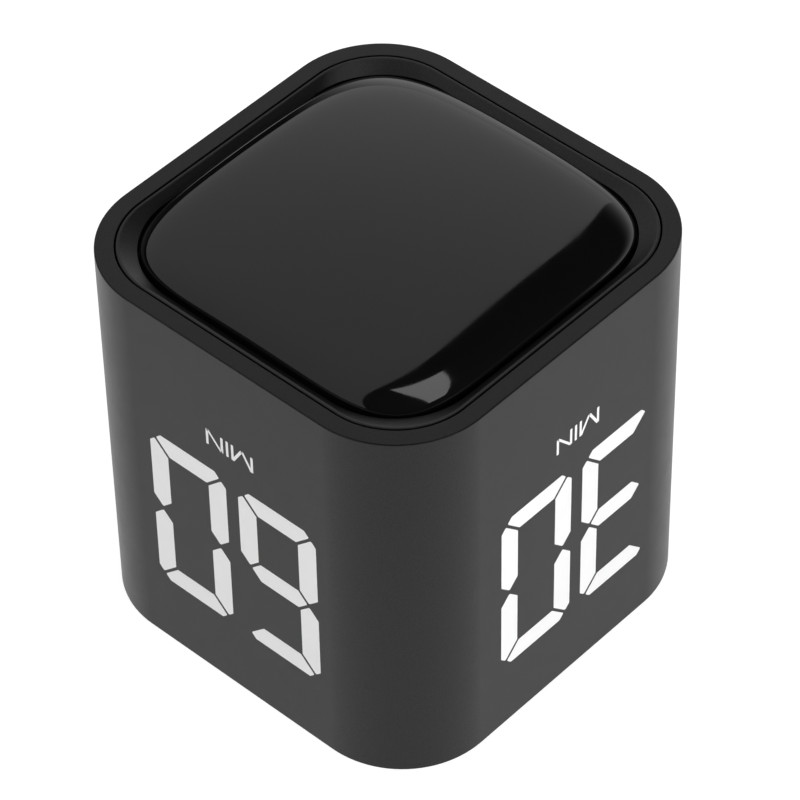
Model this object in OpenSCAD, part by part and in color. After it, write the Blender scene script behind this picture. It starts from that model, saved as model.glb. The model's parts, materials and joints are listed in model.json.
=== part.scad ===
// Cube flip timer: a rounded square tube with a domed display window on top and the controls on its back.
// Z points from the back of the cube to the display. The origin is the centre of the back rim.

/* [Casing] */
// Width, depth and height of the cube
body_w = 60; // [58:0.5:70]
// Radius of the four long corners
corner_r = 13.65; // [12:0.05:15]
// Thickness of the tube wall
wall_t = 2.5; // [2.3:0.1:2.7]
// Seam between the tube and the parts set into its ends
seam_gap = 0.2; // [0.1:0.05:0.3]
// Depth of the paint-filled numerals
print_t = 0.3; // [0.2:0.05:0.5]

/* [Window] */
// Half width of the opening in the bezel
lip_half = 25.6; // [25.3:0.1:25.8]
// Corner radius of the opening in the bezel
lip_r = 11.7; // [10.5:0.1:11.9]
// How far the bezel slopes down to its inner lip
lip_drop = 0.9; // [0.5:0.1:1.2]
// Width of the bezel's flat land next to the seam
bezel_land = 0.4; // [0.3:0.1:0.8]
// Half width of the window at the middle of a side
lens_half = 25.3; // [24.8:0.1:25.3]
// Squareness of the window's bulged outline
lens_power = 4.85; // [4:0.05:5.5]
// Height of the window's crown above the rim
lens_rise = 2.4; // [1.5:0.1:3]
// Radius of the window's shallow crown
crown_r = 220; // [180:5:400]
// How far the window's edge rolls down
edge_roll = 1.2; // [0.8:0.1:1.5]
// Wall thickness of the hollow window
lens_t = 1.8; // [1.2:0.1:2.2]

/* [Numerals] */
// Width of one numeral
digit_w = 13.3; // [12:0.1:13.6]
// Height of one numeral
digit_h = 27.1; // [24:0.1:28]
// Width of one numeral segment
digit_t = 3.1; // [2:0.1:3.4]
// Distance between the centres of two numerals
digit_pitch = 15.4; // [15:0.1:15.6]
// Gap between the segments of a numeral
segment_gap = 0.42; // [0.3:0.02:0.6]
// Cut at the outer corners of a numeral
corner_cut = 1.9; // [1:0.1:2.2]
// Height of the unit letters
letter_h = 2.7; // [2:0.1:3.5]
// Stroke width of the unit letters
letter_t = 0.43; // [0.3:0.01:0.5]

/* [Display] */
// Size of the display board and the main board
board_w = 50; // [48:0.5:50]
// Thickness of both boards
board_t = 1.6; // [1:0.1:1.6]
// Size of the four-digit module
module_size = [44, 22, 6]; // [10:1:44]
// Height of one digit of the module
led_h = 14; // [10:0.5:15]

/* [Battery] */
// Length, width and thickness of the pouch cell
cell_size = [35, 30, 8]; // [6:1:35]

/* [Back controls] */
// Distance of the button centres from the middle of the back
button_x = 13; // [11:0.5:13]
// Radius of a button's face
button_r = 3.5; // [3:0.1:3.6]
// Travel of a button
button_travel = 0.5; // [0.3:0.1:0.5]
// Travel of the slide switch each way from its middle position
slide_travel = 2; // [1.5:0.1:2]

/* [Hidden] */
$fn = 64;

// Stations round a lofted ring
stations = 96;
half = body_w / 2;
inner_w = body_w - 2 * wall_t;
inner_r = corner_r - wall_t;
insert_w = inner_w - 2 * seam_gap;
insert_r = inner_r - seam_gap;

// Levels, from the back rim up
cover_z = 0.8;
shelf_z = 3;
shelf_t = 2;
shelf_reach = 2;
frame_z = shelf_z + shelf_t;
main_z = 9.5;
main_top = main_z + board_t;
deck_z = 27;
deck_t = 2;
deck_top = deck_z + deck_t;
display_z = 48;
display_top = display_z + board_t;
ledge_t = 2;
bezel_h = 6;
bezel_z = body_w - bezel_h;
ledge_z = bezel_z - ledge_t;

// Window
bezel_wall = 0.8;
bezel_edge = 0.15;
flange_z = body_w - 4;
flange_t = 1.2;
tape_t = 0.2;
flange_half = half - wall_t - seam_gap - bezel_wall - 0.15;
flange_r = 10;
lens_top = body_w + lens_rise;
roll_power = 14;
dome_steps = [0.25, 0.5, 0.7, 0.82, 0.9, 0.945, 0.97, 0.985, 0.995, 1];
hollow_steps = [0.94, 0.8, 0.6, 0.35];

// Posts and screws
post_at = 19.5;
post_r = 3.4;
screw_r = 1;
head_r = 1.9;
head_t = 1.1;
insert_r_out = 1.6;
insert_h = 4;
play = 0.05;
standoff_x = 21;
standoff_r = 2.6;

// Print places: [offset from the middle of the face, height of the numerals' centre]
print_60 = [0.45, 25.45];
print_30 = [1.8, 24.65];
print_15 = [0, 25];
print_5 = [0, 25];
unit_drop = 19.25;
unit_letters = ["M", "I", "N"];
letter_w = [3.75, letter_t, 2.95];
letter_gap = 0.48;

// Segments of each numeral, clockwise from a at the top to f at the upper left, with g in the middle
function lit(d) =
    d == 0 ? "abcdef"
    : d == 1 ? "bc"
    : d == 3 ? "abcdg"
    : d == 5 ? "acdfg"
    : d == 6 ? "acdefg"
    : "abcdefg";
function has(word, letter) = len(search(letter, word)) > 0;

// Rear face layout
usb_y = -14;
button_y = -14;
switch_y = 17;
buzzer_y = 2;
usb_w = 8.94;
usb_h = 3.26;
usb_z = 1.2;
slot_clear = 0.1;

// Ribbon and leads
ribbon_y = 23.5;
ribbon_w = 10;
ribbon_t = 0.3;
socket_size = [13, 3, 3.5];
lead_r = 0.5;
lead_y = [7.6, 9.4];

// Battery place on the deck
cell_x = -22.8;
pad_t = 0.4;
fence_t = 1;
fence_h = 5;
cell_play = 0.3;

// Motor place: axis along Y over the deck
motor_x = 18.6;
motor_z = deck_top + 4;
can_r = 3.48;
can_y = [-8, 2];
can_t = 0.3;
shaft_r = 0.5;
shaft_y = [-7.6, 8.6];
weight_y = [4, 8];
weight_r = 2.9;

// ---------- Shapes used by several parts ----------

// Square of width w with round corners, centred on the origin
module rounded_square(w, r) {
    square([w - 2 * r, w], center = true);
    square([w, w - 2 * r], center = true);
    at_corners(w / 2 - r) circle(r);
}

// A block of that outline from z up
module slab(w, r, z, h) {
    translate([0, 0, z]) linear_extrude(h) rounded_square(w, r);
}

module at_corners(a) {
    for (x = [-a, a], y = [-a, a]) translate([x, y]) children();
}

module block(low, high) {
    translate(low) cube(high - low);
}

// Upright stadium of length w and width h, standing on z
module stadium(w, h, z, tall) {
    translate([0, 0, z]) linear_extrude(tall) {
        square([w - h, h], center = true);
        for (x = [-1, 1]) translate([x * (w - h) / 2, 0]) circle(h / 2);
    }
}

module disc(r, z, h) {
    translate([0, 0, z]) cylinder(r = r, h = h);
}

module pipe(outer, inner, z, h) {
    difference() {
        disc(outer, z, h);
        disc(inner, z - 1, h + 2);
    }
}

// Screw whose head lies below the plane z and whose shank rises from it
module screw(z, length) {
    difference() {
        disc(head_r, z - head_t, head_t);
        translate([0, 0, z - head_t - 0.01]) cross_recess();
    }
    disc(screw_r, z, length);
}

module cross_recess() {
    for (a = [0, 90]) rotate(a) translate([-1.1, -0.25, 0]) cube([2.2, 0.5, 0.7]);
}

// Round wire along a route
module wire(route, r) {
    for (i = [1:len(route) - 1]) {
        run = route[i] - route[i - 1];
        length = norm(run);
        translate(route[i - 1])
            rotate([0, acos(run.z / length), atan2(run.y, run.x)])
            cylinder(r = r, h = length, $fn = 16);
        if (i < len(route) - 1) translate(route[i]) sphere(r, $fn = 16);
    }
}

// Chip body with legs along both long sides; lift is 1 on top of a board and -1 under it
module chip(size, legs, pitch, lift) {
    leg = [0.4, 1.2, 0.6];
    clear = 0.1;
    body_z = lift > 0 ? clear : -size.z;
    leg_z = lift > 0 ? 0 : -leg.z;
    translate([-size.x / 2, -size.y / 2, body_z]) cube([size.x, size.y, size.z - clear]);
    for (side = [-1, 1], i = [0:legs - 1])
        translate([(i - (legs - 1) / 2) * pitch - leg.x / 2, side * (size.y + 1) / 2 - leg.y / 2, leg_z])
            cube(leg);
}

// Distance from the middle to a rounded square's edge in direction a
function square_reach(h, r, a) =
    let (c = abs(cos(a)), s = abs(sin(a)), k = h - r)
    h * min(c, s) <= k * max(c, s) ? h / max(c, s)
    : k * (c + s) + sqrt(k * k * (c + s) * (c + s) - 2 * k * k + r * r);
// The same for the window's outline
function lens_reach(h, a) =
    h / pow(pow(abs(cos(a)), lens_power) + pow(abs(sin(a)), lens_power), 1 / lens_power);
function square_ring(h, r, z) =
    [for (i = [0:stations - 1])
        let (a = 360 * i / stations)
        square_reach(h, r, a) * [cos(a), sin(a), 0] + [0, 0, z]];
function lens_ring(h, z) =
    [for (i = [0:stations - 1])
        let (a = 360 * i / stations)
        lens_reach(h, a) * [cos(a), sin(a), 0] + [0, 0, z]];
function join(rings) = [for (ring = rings) each ring];

// Skin over rings that go round the profile; a closed profile meets its first ring again
function skin(rings, closed) =
    [for (j = [0:len(rings) - (closed ? 1 : 2)], i = [0:stations - 1])
        let (n = (i + 1) % stations, k = (j + 1) % len(rings))
        each [[j * stations + i, j * stations + n, k * stations + n],
              [j * stations + i, k * stations + n, k * stations + i]]];

module loft_ring(rings) {
    polyhedron(points = join(rings), faces = skin(rings, true), convexity = 6);
}

// Solid between a top and a bottom pole on the axis
module loft_dome(rings, top, bottom) {
    count = len(rings) * stations;
    last = (len(rings) - 1) * stations;
    caps = [for (i = [0:stations - 1])
        let (n = (i + 1) % stations)
        each [[count, n, i], [count + 1, last + i, last + n]]];
    polyhedron(
        points = concat(join(rings), [[0, 0, top], [0, 0, bottom]]),
        faces = concat(skin(rings, false), caps),
        convexity = 6
    );
}

// ---------- Numerals ----------

// One segment of a numeral whose cell has its centre at the origin
module segment(name, w, h, t, gap, cut) {
    m = gap / sqrt(2);
    x = w / 2;
    y = h / 2;
    bar = [[-x + t + m, y - t], [-x + (cut + m) / 2, y - (cut - m) / 2], [-x + cut, y],
        [x - cut, y], [x - (cut + m) / 2, y - (cut - m) / 2], [x - t - m, y - t]];
    post = [[-x, t / 2 + m], [-x + t / 2, m], [-x + t, t / 2 + m], [-x + t, y - t - m],
        [-x + (cut - m) / 2, y - (cut + m) / 2], [-x, y - cut]];
    middle = [[-x + t / 2 + m, 0], [-x + t + m, t / 2], [x - t - m, t / 2],
        [x - t / 2 - m, 0], [x - t - m, -t / 2], [-x + t + m, -t / 2]];
    if (name == "a") polygon(bar);
    if (name == "d") mirror([0, 1]) polygon(bar);
    if (name == "f") polygon(post);
    if (name == "b") mirror([1, 0]) polygon(post);
    if (name == "e") mirror([0, 1]) polygon(post);
    if (name == "c") mirror([1, 0]) mirror([0, 1]) polygon(post);
    if (name == "g") polygon(middle);
}

module digit(d, w, h, t, gap, cut) {
    for (name = ["a", "b", "c", "d", "e", "f", "g"])
        if (has(lit(d), name)) segment(name, w, h, t, gap, cut);
}

// The numerals of one face, upright, centred on the origin
module number_shape(digits) {
    for (i = [0:len(digits) - 1])
        translate([(i - (len(digits) - 1) / 2) * digit_pitch, 0])
            digit(digits[i], digit_w, digit_h, digit_t, segment_gap, corner_cut);
}

// A slanting stroke between two heights of a letter
module stroke(x_low, x_high, low, high) {
    across = letter_t * 1.15;
    polygon([[x_low, low], [x_low + across, low], [x_high + across, high], [x_high, high]]);
}

module letter(name, w) {
    square([letter_t, letter_h]);
    if (name != "I") translate([w - letter_t, 0]) square([letter_t, letter_h]);
    slant = letter_t * 1.15;
    if (name == "N") stroke(w - slant, 0, 0, letter_h);
    if (name == "M") {
        stroke((w - slant) / 2, 0, 0, letter_h);
        stroke((w - slant) / 2, w - slant, 0, letter_h);
    }
}

// The unit word, upright, centred on the origin
module unit_shape() {
    width = letter_w[0] + letter_w[1] + letter_w[2] + 2 * letter_gap;
    starts = [0, letter_w[0] + letter_gap, letter_w[0] + letter_w[1] + 2 * letter_gap];
    for (i = [0:2])
        translate([starts[i] - width / 2, -letter_h / 2]) letter(unit_letters[i], letter_w[i]);
}

// Sets an upright print into the face whose outward normal is at angle a, upside down as the cube stands
module on_face(a, place) {
    rotate(a) translate([place[0], -half, place[1]])
        rotate([90, 0, 0]) translate([0, 0, -print_t]) rotate(180)
        linear_extrude(print_t) children();
}

module number_60() { on_face(-90, print_60) number_shape([6, 0]); }
module number_30() { on_face(0, print_30) number_shape([3, 0]); }
module number_15() { on_face(90, print_15) number_shape([1, 5]); }
module number_5() { on_face(180, print_5) number_shape([5]); }
module all_units() {
    on_face(-90, print_60) translate([0, -unit_drop]) unit_shape();
    on_face(0, print_30) translate([0, -unit_drop]) unit_shape();
    on_face(90, print_15) translate([0, -unit_drop]) unit_shape();
    on_face(180, print_5) translate([0, -unit_drop]) unit_shape();
}

module numerals_60() { color("white") number_60(); }
module numerals_30() { color("white") number_30(); }
module numerals_15() { color("white") number_15(); }
module numerals_5() { color("white") number_5(); }
module unit_marks() { color("white") all_units(); }

// ---------- Casing ----------

// Tube with a shelf and four screw lugs near the back and a narrow ledge under the bezel
module outer_shell() {
    color([0.13, 0.13, 0.135]) difference() {
        union() {
            difference() {
                slab(body_w, corner_r, 0, body_w);
                slab(inner_w, inner_r, -1, body_w + 2);
            }
            translate([0, 0, shelf_z]) linear_extrude(shelf_t) difference() {
                rounded_square(inner_w + wall_t, inner_r + wall_t / 2);
                difference() {
                    rounded_square(inner_w - 2 * shelf_reach, inner_r - shelf_reach);
                    at_corners(post_at) circle(post_r);
                    at_corners(post_at + post_r / 2) circle(post_r);
                }
            }
            translate([0, 0, ledge_z]) linear_extrude(ledge_t) difference() {
                rounded_square(inner_w + wall_t, inner_r + wall_t / 2);
                rounded_square(inner_w - 2 * (seam_gap + bezel_wall), inner_r - seam_gap - bezel_wall);
            }
        }
        at_corners(post_at) disc(screw_r + 0.2, shelf_z - 1, shelf_t + 2);
        number_60();
        number_30();
        number_15();
        number_5();
        all_units();
    }
}

// Bezel: flush with the rim, slopes down to its lip, and has a pocket below for the window's flange
module front_bezel() color([0.14, 0.14, 0.145]) {
    land_half = insert_w / 2 - bezel_land;
    edge_half = insert_w / 2 - bezel_edge;
    pocket_half = insert_w / 2 - bezel_wall;
    shoulder_z = flange_z + flange_t + tape_t;
    loft_ring([
        square_ring(insert_w / 2, insert_r, bezel_z),
        square_ring(pocket_half, insert_r - bezel_wall, bezel_z),
        square_ring(pocket_half, insert_r - bezel_wall, shoulder_z),
        square_ring(lip_half, lip_r, shoulder_z),
        square_ring(lip_half, lip_r, body_w - lip_drop),
        square_ring(land_half, insert_r - bezel_land, body_w),
        square_ring(edge_half, insert_r - bezel_edge, body_w),
        square_ring(insert_w / 2, insert_r, body_w - bezel_edge),
    ]);
}

module lens_tape() color("dimgray") {
    translate([0, 0, flange_z + flange_t]) linear_extrude(tape_t) difference() {
        rounded_square(2 * flange_half - 0.2, flange_r);
        rounded_square(2 * lip_half + 0.2, lip_r);
    }
}

// Height of the window's outer surface in direction a, at the share s of the way to its outline
function lens_z(a, s) =
    lens_top - pow(lens_reach(lens_half, a) * s, 2) / (2 * crown_r)
    - edge_roll * (1 - sqrt(max(0, 1 - pow(s, roll_power))));
// Ring of a surface that lies this far under the outer one
function dome_ring(s, depth) =
    [for (i = [0:stations - 1])
        let (a = 360 * i / stations, r = lens_reach(lens_half, a) * s)
        [r * cos(a), r * sin(a), lens_z(a, s) - depth]];

// Smoked window: a shallow crown with a rolled edge, a hollow back and a flange behind the bezel's lip
module display_lens() {
    inner_half = lens_half - lens_t;
    crown = [for (s = dome_steps) dome_ring(s, 0)];
    flange = [
        lens_ring(lens_half, flange_z + flange_t),
        square_ring(flange_half, flange_r, flange_z + flange_t),
        square_ring(flange_half, flange_r, flange_z),
        lens_ring(inner_half, flange_z),
    ];
    hollow = [for (s = hollow_steps) dome_ring(s * inner_half / lens_half, lens_t)];
    color([0.02, 0.02, 0.02]) loft_dome(concat(crown, flange, hollow), lens_top, lens_top - lens_t);
}

// ---------- Display ----------

led_w = 8;
led_t = 1.5;
led_gap = 0.3;
led_cut = 0.8;
led_pitch = 10;
led_depth = 1;
module_top = display_top + module_size.z;
pin_pitch = 2.54;
pin_r = 0.3;
pins_y = 7.62;

module at_pins() {
    for (i = [0:5], side = [-1, 1]) translate([(i - 2.5) * pin_pitch * 2, side * pins_y]) children();
}

// The module's 28 lit windows and its two colon dots
module led_shapes() {
    for (i = [0:3]) translate([(i - 1.5) * led_pitch, 0])
        digit(8, led_w, led_h, led_t, led_gap, led_cut);
    for (side = [-1, 1]) translate([0, side * led_h / 5]) circle(0.7);
}

module digit_module() color([0.1, 0.1, 0.1]) {
    difference() {
        translate([-module_size.x / 2, -module_size.y / 2, display_top]) cube(module_size);
        translate([0, 0, module_top - led_depth]) linear_extrude(led_depth + 1) led_shapes();
    }
}

module digit_segments() color("whitesmoke") {
    translate([0, 0, module_top - led_depth]) linear_extrude(led_depth) led_shapes();
}

module module_pins() color("silver") {
    at_pins() disc(pin_r, display_z - 1.2, board_t + 1.2);
}

module display_board() color([0.05, 0.3, 0.15]) {
    difference() {
        slab(board_w, 9, display_z, board_t);
        at_corners(post_at) disc(screw_r + 0.15, display_z - 1, board_t + 2);
        at_pins() disc(pin_r + 0.1, display_z - 1, board_t + 2);
    }
}

module driver_chip() color([0.08, 0.08, 0.08]) {
    translate([0, 0, display_z]) chip([17.9, 5.2, 2.2], 14, 1.27, -1);
}

// The two sockets that hold the ribbon's ends, one on each board
module ribbon_sockets() color("ivory") {
    slot = [ribbon_w + 2 * play, ribbon_t + 2 * play, socket_size.z];
    for (place = [[main_top, 1], [display_z - socket_size.z, -1]])
        difference() {
            translate([-socket_size.x / 2, ribbon_y - socket_size.y / 2, place[0]]) cube(socket_size);
            translate([-slot.x / 2, ribbon_y - slot.y / 2, place[0] + place[1]]) cube(slot);
        }
}

module display_ribbon() color("white") {
    block([-ribbon_w / 2, ribbon_y - ribbon_t / 2, main_top + 1.2],
        [ribbon_w / 2, ribbon_y + ribbon_t / 2, display_z - 1.2]);
}

module display_screws() color("silver") {
    at_corners(post_at) translate([0, 0, display_top]) mirror([0, 0, 1]) screw(0, 7);
}

// ---------- Inner frame ----------

// Deck on four posts. The posts stand on the shell's lugs and carry the display board.
module inner_frame() color([0.25, 0.25, 0.26]) {
    fence_low = [cell_x - cell_play - fence_t, -cell_size.y / 2 - cell_play - fence_t, deck_top];
    fence_high = [cell_x + cell_size.x + cell_play + fence_t, -fence_low.y, deck_top + fence_h];
    rim = [fence_t, fence_t, 0];
    difference() {
        union() {
            slab(body_w - 9, 9.15, deck_z, deck_t);
            at_corners(post_at) disc(post_r, frame_z, display_z - frame_z);
            for (x = [-1, 1]) translate([x * standoff_x, 0]) disc(standoff_r, main_top, deck_z - main_top);
            for (x = [-1, 1])
                block([x * post_at - 0.6, -post_at, deck_z - 6], [x * post_at + 0.6, post_at, deck_z]);
            difference() {
                block(fence_low, fence_high);
                block(fence_low + rim, fence_high - rim + [0, 0, 1]);
            }
        }
        at_corners(post_at) disc(insert_r_out, frame_z - 1, insert_h + 1);
        at_corners(post_at) disc(screw_r - 0.05 + play * 2, frame_z + insert_h - 0.5, 3);
        at_corners(post_at) disc(screw_r + play, display_z - 8, 9);
        for (x = [-1, 1]) translate([x * standoff_x, 0]) disc(screw_r + play, main_top - 1, 6);
        block([-ribbon_w / 2 - 1.5, ribbon_y - 1.5, deck_z - 1],
            [ribbon_w / 2 + 1.5, ribbon_y + 3, deck_top + 1]);
        block([-half, lead_y[0] - 1.2, deck_z - 1],
            [cell_x - cell_play, lead_y[1] + 1.2, deck_top + fence_h + 1]);
        block([motor_x - 2, -13, deck_z - 7], [motor_x + 2, -10.5, deck_top + 1]);
    }
}

module frame_inserts() color("goldenrod") {
    at_corners(post_at) pipe(insert_r_out - 0.02, screw_r + 0.02, frame_z, insert_h);
}

// ---------- Battery ----------

module battery_cell() color("silver") {
    z = deck_top + pad_t;
    r = cell_size.z / 2;
    // Pouch with its two long edges rounded
    translate([cell_x, 0, z]) rotate([90, 0, 90]) linear_extrude(cell_size.x)
        translate([0, r]) {
            square([cell_size.y - 2 * r, 2 * r], center = true);
            for (side = [-1, 1]) translate([side * (cell_size.y / 2 - r), 0]) circle(r);
        }
}

module battery_tape() color("gray") {
    block([cell_x + 3, -8, deck_top], [cell_x + cell_size.x - 3, 8, deck_top + pad_t]);
}

plug_low = [-22.4, 6.4, main_top + 0.5];
plug_high = [-17.9, 10.6, main_top + 2.9];
plug_mid = main_top + 1.7;
lead_top = deck_top + 6.5;
lead_x = -25;
lead_bend = 1.2;
// Out of the cell, down past the deck's edge and back into the plug
function battery_route(y) = [
    [cell_x, y, lead_top],
    [lead_x + lead_bend, y, lead_top],
    [lead_x, y, lead_top - lead_bend],
    [lead_x, y, plug_mid + lead_bend],
    [lead_x + lead_bend, y, plug_mid],
    [plug_low.x, y, plug_mid],
];

module battery_lead_red() color("red") { wire(battery_route(lead_y[0]), lead_r); }
module battery_lead_black() color([0.1, 0.1, 0.1]) { wire(battery_route(lead_y[1]), lead_r); }

module battery_plug() color("ivory") { block(plug_low, plug_high); }

module battery_socket() color("beige") {
    difference() {
        block([plug_low.x + 1, plug_low.y, main_top] - [0, 0.6, 0], plug_high + [0.6, 0.6, 0.6]);
        block(plug_low - [0, play, play], plug_high + [play, play, play]);
    }
}

// ---------- Vibration motor ----------

// Places a shape made along Z so that it lies along Y on the motor's axis
module on_motor_axis() {
    translate([motor_x, 0, motor_z]) rotate([-90, 0, 0]) children();
}

can_len = can_y[1] - can_y[0];

module motor_can() color("silver") on_motor_axis() difference() {
    disc(can_r, can_y[0], can_len);
    disc(can_r - can_t, can_y[0] - 1, can_len - can_t + 1);
    disc(shaft_r + play, can_y[1] - 1, 2);
}

// Fixed magnet on a tube that the shaft runs through
module motor_magnet() color([0.3, 0.3, 0.32]) on_motor_axis() {
    pipe(2, 0.8, -5.4, can_y[1] - can_t + 5.4);
}

module motor_endcap() color("white") on_motor_axis() {
    pipe(can_r - can_t - 0.02, shaft_r + play, can_y[0], 1.4);
}

module motor_boot() color([0.15, 0.15, 0.15]) difference() {
    block([motor_x - 4.3, can_y[0] + 0.5, deck_top], [motor_x + 4.3, can_y[1] - 0.5, motor_z + 4.2]);
    on_motor_axis() disc(can_r + 0.02, can_y[0] - 1, can_len + 2);
}

module motor_shaft() color("silver") on_motor_axis() {
    disc(shaft_r, shaft_y[0], shaft_y[1] - shaft_y[0]);
}

// Coil cup that turns round the magnet
module motor_armature() color([0.7, 0.35, 0.15]) on_motor_axis() {
    pipe(2.7, 2.2, -5.9, 7);
    pipe(2.7, shaft_r + 0.01, -6.3, 0.5);
}

// Half-round weight that throws the cube about as it turns
module motor_weight() color([0.6, 0.6, 0.58]) on_motor_axis() {
    length = weight_y[1] - weight_y[0];
    difference() {
        union() {
            disc(1.3, weight_y[0], length);
            intersection() {
                disc(weight_r, weight_y[0], length);
                block([-weight_r, 0, weight_y[0]], [weight_r, weight_r, weight_y[1]]);
            }
        }
        disc(shaft_r + 0.01, weight_y[0] - 1, length + 2);
    }
}

module motor_leads() color([0.15, 0.2, 0.6]) {
    for (side = [-1, 1]) {
        x = motor_x + side;
        wire([[x, can_y[0], motor_z], [x, -10.4, motor_z], [x, -11.6, motor_z - 1.2], [x, -11.6, main_top]],
            0.4);
    }
}

// ---------- Main board ----------

module main_board() color([0.05, 0.3, 0.15]) {
    difference() {
        slab(board_w, 9, main_z, board_t);
        at_corners(post_at) disc(post_r + 0.5, main_z - 1, board_t + 2);
        at_corners(post_at + post_r) disc(post_r + 0.5, main_z - 1, board_t + 2);
        for (x = [-1, 1]) translate([x * standoff_x, 0]) disc(screw_r + 0.15, main_z - 1, board_t + 2);
    }
}

module processor_chip() color([0.08, 0.08, 0.08]) {
    translate([4, -6, main_top]) for (a = [0, 90]) rotate(a) chip([7, 7, 1.4], 8, 0.8, 1);
}

module tilt_sensor() color([0.12, 0.12, 0.12]) {
    translate([-1, 5, main_top]) cube([2, 2, 1]);
}

module charge_chip() color([0.08, 0.08, 0.08]) {
    translate([-9, -13, main_top]) chip([4.9, 3.9, 1.5], 4, 1.27, 1);
}

module clock_crystal() color("silver") {
    translate([12.5, -6, main_top]) rotate(90) stadium(6, 2.2, 0, 1.8);
}

// Capacitors and resistors in short rows
module board_passives() color("tan") {
    for (i = [0:5]) translate([-8 + 3 * i, 12, main_top]) cube([1, 2, 0.8]);
    for (i = [0:4]) translate([-14, -4 + 2.6 * i, main_top]) cube([2, 1.2, 0.8]);
    for (i = [0:3]) translate([12 + 2.6 * i, 6, main_top]) cube([1.2, 2, 0.8]);
    translate([-3, -19, main_top]) cube([4, 4, 2]);
}

module board_screws() color("silver") {
    for (x = [-1, 1]) translate([x * standoff_x, 0]) screw(main_z, 6);
}

// ---------- Charging port ----------

module usb_shell() color("silver") translate([0, usb_y]) difference() {
    stadium(usb_w, usb_h, usb_z, main_z - usb_z);
    stadium(usb_w - 0.6, usb_h - 0.6, usb_z - 1, main_z - usb_z + 2);
}

module usb_tongue() color([0.1, 0.1, 0.1]) translate([0, usb_y]) {
    block([-3.35, -0.35, usb_z + 0.8], [3.35, 0.35, main_z - 1.4]);
    stadium(usb_w - 0.66, usb_h - 0.66, main_z - 1.5, 1.5);
}

// ---------- Slide switch ----------

switch_size = [9, 4, 3.5];
switch_low = main_z - switch_size.z;
lever_w = 1.6;

module switch_frame() color("silver") translate([0, switch_y]) difference() {
    block([-4.5, -2, switch_low], [4.5, 2, main_z]);
    block([-4.25, -1.7, switch_low + 0.3], [4.25, 1.7, main_z - 0.4]);
    block([-lever_w / 2 - slide_travel - 0.1, -lever_w / 2 - 0.1, switch_low - 1],
        [lever_w / 2 + slide_travel + 0.1, lever_w / 2 + 0.1, switch_low + 1]);
}

module switch_lever() color("white") translate([0, switch_y]) {
    block([-2.1, -1.6, switch_low + 0.4], [2.1, 1.6, switch_low + 1.3]);
    block([-lever_w / 2, -lever_w / 2, 4.1], [lever_w / 2, lever_w / 2, switch_low + 0.5]);
}

knob_half = [1.6, 1.6];
knob_z = 0.4;
knob_flange_z = shelf_z + 0.05;

// Ribbed thumb pad in the cover's slot, with a plate behind it that hides the slot and grips the lever
module switch_knob() color([0.1, 0.1, 0.1]) translate([0, switch_y]) difference() {
    union() {
        block([-knob_half.x, -knob_half.y, knob_z + 0.3], [knob_half.x, knob_half.y, knob_flange_z + 0.1]);
        for (i = [-1:1]) block([i - 0.25, -knob_half.y, knob_z], [i + 0.25, knob_half.y, knob_z + 0.4]);
        block([-6.2, -2.5, knob_flange_z], [6.2, 2.5, knob_flange_z + 0.8]);
        block([-1.6, -1.6, knob_flange_z + 0.5], [1.6, 1.6, switch_low - 0.3]);
    }
    block([-lever_w / 2 - play, -lever_w / 2 - play, 4],
        [lever_w / 2 + play, lever_w / 2 + play, switch_low]);
}

// ---------- Push buttons ----------

tact_low = main_z - 3.5;
plunger_r = 1.75;
plunger_z = 5;
dome_seat_z = main_z - 0.6;
dome_h = 0.42;
// Room between the plunger and the dome when the button is fully in
dome_clear = 0.18;

module at_buttons() {
    for (x = [-1, 1]) translate([x * button_x, button_y]) children();
}

module tact_bases() color([0.1, 0.1, 0.1]) at_buttons() difference() {
    block([-3, -3, tact_low + 0.3], [3, 3, main_z]);
    disc(2.1, tact_low - 1, main_z - tact_low + 0.4);
}

module tact_covers() color("silver") at_buttons() difference() {
    block([-3, -3, tact_low], [3, 3, tact_low + 0.3]);
    disc(plunger_r + play, tact_low - 1, 2);
}

// Snap dome that pushes the plunger back
module tact_domes() color("silver") at_buttons() rotate_extrude() {
    outside = [[0, -dome_h], [1.2, -0.3], [2, -0.02]];
    inside = [[2, 0], [1.8, 0], [1.1, -0.22], [0, 0.08 - dome_h]];
    translate([0, dome_seat_z]) polygon(concat(outside, inside));
}

module plunger() color([0.15, 0.15, 0.15]) {
    disc(plunger_r, plunger_z, dome_seat_z - dome_h - dome_clear - button_travel - plunger_z);
}

module plunger_left() { translate([-button_x, button_y]) plunger(); }
module plunger_right() { translate([button_x, button_y]) plunger(); }

button_z = 0.3;
button_flange_r = button_r + 0.9;

// Cap held behind the cover by its flange, with a stem down to the plunger and a shallow dish in its face
module button() color([0.12, 0.12, 0.12]) difference() {
    union() {
        disc(button_r, button_z, shelf_z - button_z + 0.1);
        disc(button_flange_r, shelf_z, 0.9);
        disc(1.5, shelf_z, plunger_z - shelf_z);
    }
    translate([0, 0, button_z - 19.8]) sphere(20, $fn = 96);
}

module button_left() { translate([-button_x, button_y]) button(); }
module button_right() { translate([button_x, button_y]) button(); }

// ---------- Buzzer ----------

buzzer_r = 6;
buzzer_z = 4.5;

module buzzer_case() color([0.08, 0.08, 0.08]) translate([0, buzzer_y]) difference() {
    disc(buzzer_r, buzzer_z, main_z - buzzer_z);
    disc(buzzer_r - 0.7, buzzer_z + 0.6, main_z - buzzer_z);
    disc(1.5, buzzer_z - 1, 2);
}

module buzzer_magnet() color([0.3, 0.3, 0.32]) translate([0, buzzer_y]) {
    pipe(buzzer_r - 0.8, 3.4, main_z - 2.4, 2.3);
}

module buzzer_coil() color([0.7, 0.35, 0.15]) translate([0, buzzer_y]) {
    pipe(3.2, 1, main_z - 2.6, 2.5);
}

module buzzer_diaphragm() color("silver") translate([0, buzzer_y]) {
    disc(buzzer_r - 0.8, buzzer_z + 1.2, 0.15);
}

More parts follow.
